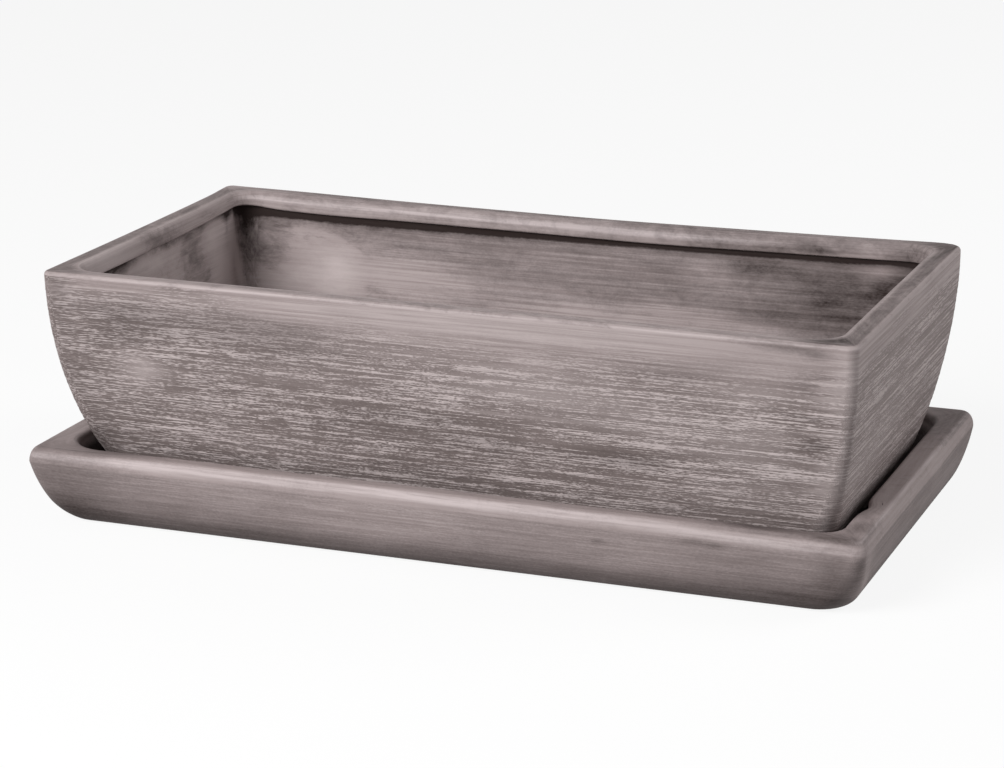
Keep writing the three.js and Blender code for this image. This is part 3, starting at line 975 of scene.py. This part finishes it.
def box_values(skin, grain):
    """What the box's material reads at each point of its skin, and on its caps."""
    at = BoxPlaces(skin, grain)
    wall, top, inside = at.zone("wall", "foot"), at.zone("rim", "lip"), at.zone("inside")
    rough, wall_tone = wall_look(at, grain)
    rim_tone, rim_wear_and_highlight = rim_look(at)
    inside_tone, inside_wear_and_light = inside_look(at, grain, corner_ridge(skin))
    stroke = noise_at(grain, 14, 1.4, 3.7) + 0.4 * noise_at(grain, 5, 0.9, 8.1)
    cloudy = inside * np.maximum(at.facing.right, ramp(-80, -140, at.x))
    calm = wall * at.facing.front * ramp(100, 140, at.x) * ramp(95, 108, at.z)
    return {
        "rough": (rough, 0.0),
        "stroke": (ramp(-0.3, 0.4, stroke), 0.5),
        "brush": (0.6 + 0.5 * (wall - calm) + inside * (0.4 - 0.7 * cloudy), 0.5),
        "long": (ramp(-130, 0, at.x), 0.5),
        # The underside gets painted shade, and the caps, the floor inside and the underside, a little
        "tone": (wall_tone + rim_tone + inside_tone - 0.5 * at.zone("under"), -0.2),
        "wear_and_painted_light": (rim_wear_and_highlight + inside_wear_and_light, 0.0),
        "mottle": (0.1 * wall + 0.6 * top + inside * (0.3 + 0.5 * cloudy), 0.3),
        "wash": (0.2 * wall + 0.25 * top + inside * (0.4 - 0.3 * cloudy), 0.5),
    }


def build_box(material):
    half_length = BOX_LENGTH / 2 - END_TAPER - BOX_FOOT_CORNER_RADIUS
    half_width = BOX_WIDTH / 2 - WALL_TAPER - BOX_FOOT_CORNER_RADIUS
    notch = (NOTCH_WIDTH / 2, NOTCH_WIDTH / 2 + NOTCH_EDGE)
    outline = Outline(half_length, half_width, notch)
    outer = ("under", "foot", "wall")
    skin = Skin(outline, BOX_LENGTH, BOX_WIDTH, box_section(), outer, BOX_CORNER_RADIUS)
    grain = skin.grain()
    values = box_values(skin, grain)
    lift = STROKE_RELIEF * (values["stroke"][0] - 0.5) * values["rough"][0]
    lift += RIDGE_HEIGHT * corner_ridge(skin)
    skin.grid = skin.grid + skin.normals() * lift[..., None] + settle(skin, grain)
    warp_box(skin)

    # The notches in the foot ring, whose roofs lie a little below the underside
    x, y, z = skin.axes()
    roof = BOX_UNDERSIDE - NOTCH_ROOF
    in_notch = (np.minimum(np.abs(x), np.abs(y)) < notch[0] + 0.01) & (z < roof)
    skin.grid[..., 2] = np.where(in_notch, roof, z)

    # The drain holes, evenly spread along the flat floor
    floor_inset, floor_z, _, floor_extra = skin.table[-1]
    skin.grid[-1, :, 2] = floor_z
    spacing = (BOX_LENGTH - 2 * floor_inset - 2 * floor_extra) / DRAIN_COUNT
    drains = [((i - (DRAIN_COUNT - 1) / 2) * spacing, 0, DRAIN_RADIUS) for i in range(DRAIN_COUNT)]
    body = Body(skin, drains, DRAIN_EDGE_RADIUS)
    piece = make_object("box_body", body.points, body.faces, material)
    dress(piece, body, grain, values)
    finish_mesh(piece)
    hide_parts("window_box")
    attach(piece, "window_box")


# Spots on the saucer's front, along X and Z
SAUCER_TONES = (
    (-190, 20, 32, 30, -0.4), (-150, 12, 90, 12, -0.08), (-20, 18, 30, 10, 0.12),
    (85, 25.2, 2.4, 1.1, -0.5), (130, 31, 9, 1.6, -0.35), (140, 29.6, 5, 1.3, -0.3),
    (150, 24, 40, 8, -0.2), (182, 7, 28, 8, -0.25), (194, 22, 11, 11, -0.4),
)

# Spots on the flat of its rim and at two of its corners, along X and Y
SAUCER_FLAT_TONES = (
    (-166, -103, 26, 8, -0.6), (162, -104, 34, 8, -0.8), (197, -110, 12, 5, -0.55),
    (199, -93, 8, 8, -0.5), (201, -80, 8, 14, -0.35),
)
SAUCER_LEFT_CORNER = ((-206, -106, 6, 9, -0.25),)
SAUCER_RIGHT_CORNER = ((205, -102, 6, 9, 1.1),)


def saucer_values(skin):
    """What the saucer's material reads at each point of its skin, and on its caps."""
    at = Places(skin)
    x, y, z, facing = at.x, at.y, at.z, at.facing
    wall, rim, inside, under = (at.zone(name) for name in ("wall", "rim", "inside", "under"))
    outer = np.arange(len(skin.zones))[:, None] < np.argmax(facing.up[:, 0] > 0.999)
    right_end = ramp(175, 195, x)

    # The rim's outer edge gets a painted highlight on worn paint in a band, whose upper side is lower
    # towards both ends, and a painted highlight along its crest at the ends and back
    to_right = ramp(100, 150, x)
    lower = np.maximum(0.325 * to_right, 0.2 * ramp(-130, -180, x))
    start = 0.16 * (1 - to_right)
    highlight_band = ramp(start, start + 0.2, facing.up) * ramp(0.9 - lower, 0.7 - lower, facing.up)
    front_highlight = 0.6 - 0.12 * ramp(60, 120, x) - 0.2 * ramp(182, 197, x)
    crest_highlight = 0.5 * bell(facing.up, 0.8, 0.1) * (1 - facing.front)
    wear_and_painted_light = rim * outer * (front_highlight * highlight_band * facing.front + crest_highlight)

    tone = facing.front * (wall | rim) * spots(x, z, SAUCER_TONES)
    tone += rim * spots(x, y, SAUCER_LEFT_CORNER)
    flat = rim * np.where(outer, ramp(0.85 - lower, 1.0 - lower, facing.up), 1.0)
    tone += flat * (spots(x, y, SAUCER_FLAT_TONES) - right_end * (0.45 * ramp(0, 90, y) - 0.05))
    # Painted shade on the wall towards the bottom and on the side facing right, lighter again at the
    # front right corner, most towards the bottom
    tone -= wall * (0.1 + 0.44 * ramp(20, 3, z) + 0.2 * facing.right)
    tone += wall * spots(x, y, SAUCER_RIGHT_CORNER) * (0.25 + 0.85 * ramp(22, 8, z))
    # Painted shade deep in the moat round the box, and on the underside
    moat_shade = ramp(SAUCER_TOP - 3.5, SAUCER_TOP - 9, z)
    tone -= inside * moat_shade * (0.45 + 0.45 * ramp(SEAT_Z + 1, SEAT_Z + 14, z)) + 0.3 * under
    none = np.zeros(x.shape)
    return {
        "rough": (0.2 * wall, 0.0),
        "stroke": (none, 0.0),
        "brush": (0.4 + 0.25 * wall, 0.5),
        "long": (none + 1, 1.0),
        # The caps, the floor under the box and the underside, get painted shade
        "tone": (tone, -0.45),
        "wear_and_painted_light": (wear_and_painted_light, 0.0),
        "mottle": (0.12 * wall + 0.25 * rim + 0.2 * rim * right_end, 0.2),
        "wash": (0.25 * wall + 0.1 * rim, 0.3),
    }


def build_saucer(material):
    half_length = SAUCER_LENGTH / 2 - SAUCER_FOOT_INSET - SAUCER_FOOT_CORNER_RADIUS
    half_width = SAUCER_WIDTH / 2 - SAUCER_FOOT_INSET - SAUCER_FOOT_CORNER_RADIUS
    outline = Outline(half_length, half_width)
    inner = ("rim", "inside")
    skin = Skin(outline, SAUCER_LENGTH, SAUCER_WIDTH, saucer_section(), inner, SAUCER_CORNER_RADIUS)
    grain = skin.grain()
    values = saucer_values(skin)
    above_floor = np.clip((skin.grid[..., 2:] - SEAT_Z) / SETTLE_RISE, 0, 1)
    skin.grid = skin.grid + settle(skin, grain) * above_floor

    # A shallow dent in the inner edge of the right end
    x, y, z = skin.axes()
    at_edge = (x > 170) & (x < SAUCER_LENGTH / 2 - SAUCER_RIM_EDGE_WIDTH - 2)
    dent = DENT_DEPTH * bell(y, DENT_Y, DENT_REACH) * ramp(SEAT_Z + 8, SAUCER_TOP - 6, z)
    skin.grid[..., 0] += np.where(at_edge, dent, 0)

    body = Body(skin)
    piece = make_object("saucer_body", body.points, body.faces, material)
    dress(piece, body, grain, values)
    finish_mesh(piece)
    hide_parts("saucer")
    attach(piece, "saucer")


def build_foot(node, material):
    """A turned rubber foot, with a rounded tread round a shallow dimple."""
    low, high = node_box(node)
    radius, top = (high[0] - low[0]) / 2, high[2]
    dimple = [(0.25, 0.5), (0.38, 0.42), (0.46, 0.08)]  # each as a share of the radius, and a height
    tread = [(0.52, 0), (0.89, 0), (0.96, 0.1), (0.99, 0.3), (1, 0.6)]
    profile = dimple + tread + [(1, top)]
    middle = (low + high)[:2] / 2
    rings = []
    for share, z in profile:
        rings.append(np.column_stack([circle(middle, radius * share), np.full(ROUND_STEPS, z)]))
    points = np.concatenate(rings + [[(*middle, profile[0][1]), (*middle, top)]])
    last = (len(profile) - 1) * ROUND_STEPS
    under, over = len(points) - 2, len(points) - 1
    faces = []
    for j in range(ROUND_STEPS):
        k = (j + 1) % ROUND_STEPS
        faces.append((under, k, j))
        for low_row in range(0, last, ROUND_STEPS):
            high_row = low_row + ROUND_STEPS
            faces.append((low_row + j, low_row + k, high_row + k, high_row + j))
        faces.append((over, last + j, last + k))
    piece = make_object(node.replace("rubber_foot", "foot"), points, faces, material)
    finish_mesh(piece)
    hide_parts(node)
    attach(piece, "saucer")


def stand(name, data, place, target):
    """A lamp or a camera at a place, in metres, that looks at a target."""
    thing = bpy.data.objects.new(name, data)
    turn = (Vector(target) - Vector(place)).to_track_quat("-Z", "Y")
    thing.matrix_world = Matrix.LocRotScale(Vector(place), turn, None)
    bpy.context.scene.collection.objects.link(thing)
    return thing


def place_camera():
    """The photograph's camera."""
    azimuth, elevation = math.radians(CAMERA_AZIMUTH), math.radians(CAMERA_ELEVATION)
    level = math.cos(elevation)
    back = Vector((math.sin(azimuth) * level, -math.cos(azimuth) * level, math.sin(elevation)))
    data = bpy.data.cameras.new("camera")
    data.lens = CAMERA_LENS
    data.sensor_width = SENSOR_WIDTH
    data.sensor_fit = "HORIZONTAL"
    target = Vector(CAMERA_TARGET) * MM
    place = target + back * CAMERA_DISTANCE * MM
    bpy.context.scene.camera = stand("camera", data, place, target)


def add_lamp(name, place, power):
    """A square soft box, in metres and watts."""
    data = bpy.data.lights.new(name, "AREA")
    data.shape = "SQUARE"
    data.size = LAMP_SIZE
    data.energy = power
    stand(name, data, place, LAMP_TARGET)


def seen_directly(nodes):
    """1 for what the camera sees, also in or through a shiny surface, and 0 for other light."""
    rays = nodes.add("ShaderNodeLightPath", {})
    total = rays["Is Camera Ray"]
    for name in ("Is Glossy Ray", "Is Transmission Ray"):
        total = nodes.math("ADD", total, rays[name], True)
    return total


def light_studio():
    """Soft light from the front left and from behind on the right, and a white floor and background."""
    add_lamp("key", KEY_PLACE, KEY_POWER)
    add_lamp("side", SIDE_PLACE, SIDE_POWER)
    sky = Nodes(bpy.data.worlds.new("studio"), "Background")
    sky.set("Color", (1, 1, 1, 1))
    sky.set("Strength", sky.step(seen_directly(sky), 0.0, 1.0, DIM_WORLD, 1.0))
    bpy.context.scene.world = sky.owner

    nodes = Nodes(bpy.data.materials.new("studio_floor"))
    seen = seen_directly(nodes)
    nodes.set("Base Color", nodes.mix(seen, FLOOR_LIT, FLOOR_SEEN))
    nodes.set("Roughness", 0.9)
    nodes.set("Specular IOR Level", 0.0)
    glow = nodes.add("ShaderNodeEmission", {})[0]
    share = nodes.math("MULTIPLY", seen, FLOOR_GLOW)
    blend = nodes.add("ShaderNodeMixShader", {0: share, 1: nodes.shader.outputs[0], 2: glow})[0]
    nodes.put(nodes.tree.nodes["Material Output"].inputs["Surface"], blend)
    mesh = bpy.data.meshes.new("studio_floor")
    corners = [(x * FLOOR_REACH, y * FLOOR_REACH, 0) for x, y in ((-1, -1), (1, -1), (1, 1), (-1, 1))]
    mesh.from_pydata(corners, [], [(0, 1, 2, 3)])
    mesh.materials.append(nodes.owner)
    floor = bpy.data.objects.new("studio_floor", mesh)
    bpy.context.scene.collection.objects.link(floor)


bpy.context.scene.view_settings.view_transform = "Standard"
place_camera()
light_studio()

# Ground, smooth and pale clay, the colour of its worn edges, painted highlights and painted light, and
# how long its streaks are
worn_and_lit = colour(202, 190, 190)
box_shades = colour(116, 105, 103), colour(160, 147, 146), colour(190, 178, 177), worn_and_lit
saucer_shades = colour(118, 107, 105), colour(156, 143, 142), colour(180, 168, 167), worn_and_lit
box_clay = ceramic("box_ceramic", *box_shades, 90.0)
saucer_clay = ceramic("saucer_ceramic", *saucer_shades, 35.0)
build_box(box_clay)
build_saucer(saucer_clay)
foot_material = rubber("rubber")
for foot_node in FOOT_NODES:
    build_foot(foot_node, foot_material)
